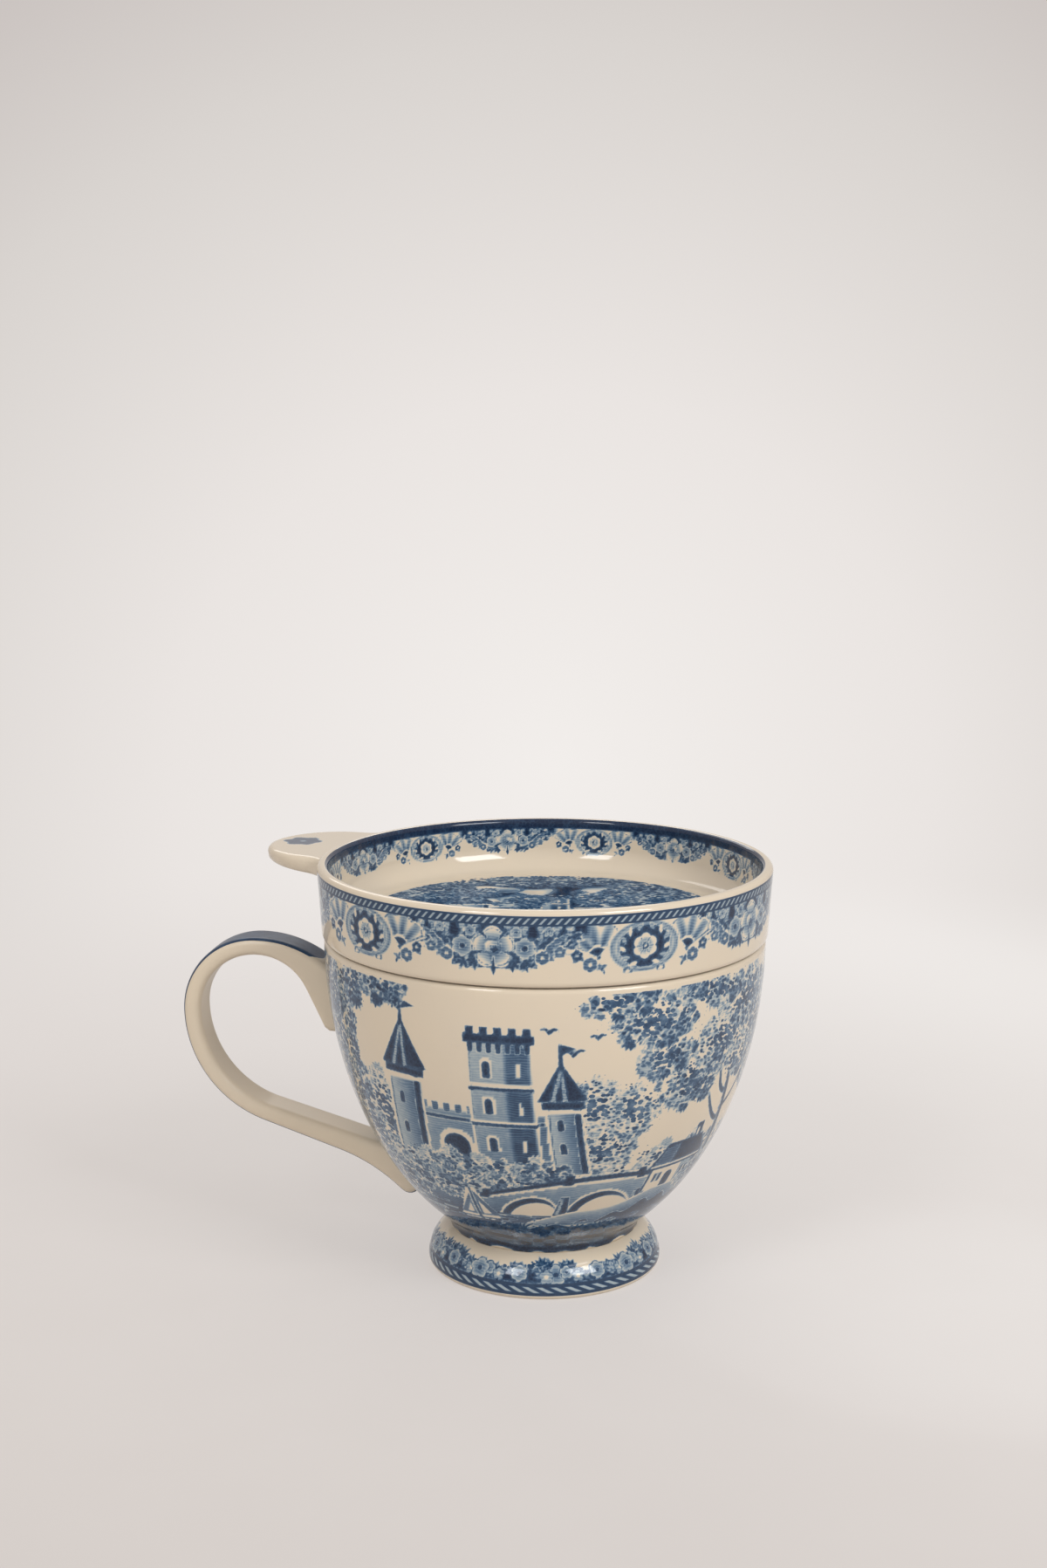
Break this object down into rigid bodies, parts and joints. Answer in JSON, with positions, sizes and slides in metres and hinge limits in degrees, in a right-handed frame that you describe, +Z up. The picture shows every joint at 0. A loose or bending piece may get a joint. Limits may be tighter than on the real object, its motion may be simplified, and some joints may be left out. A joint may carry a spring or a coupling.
{
  "type": "covered tea cup",
  "caption": "Footed round tea cup with a strap loop handle and a loose shallow dish lid with a thumb tab, in cream glazed ceramic with a blue printed scene and borders.",
  "frame": {"origin": "middle of the foot ring on the table plane, on the axis of the bowl", "axes": "+Z up along the bowl's axis, handle along -X, dish lid's tab turned a little from the handle towards +Y"},
  "size_m": [0.1319, 0.0998, 0.0914],
  "materials": {
    "bowl_glaze": "gloss glaze over blue print",
    "foot_glaze": "gloss glaze over blue print",
    "handle_glaze": "gloss glaze over blue print",
    "dish_glaze": "gloss glaze over blue print",
    "tab_glaze": "gloss glaze over blue print"
  },
  "bodies": {
    "cup": {"cup_bowl": "bowl_glaze", "foot_ring": "foot_glaze", "handle": "handle_glaze"},
    "dish": {"lid_dish": "dish_glaze", "thumb_tab": "tab_glaze"}
  },
  "joints": [
    {"name": "dish_lift", "type": "slide", "parent": "cup", "child": "dish", "axis": [0, 0, 1], "range_m": [0, 0.06]}
  ]
}
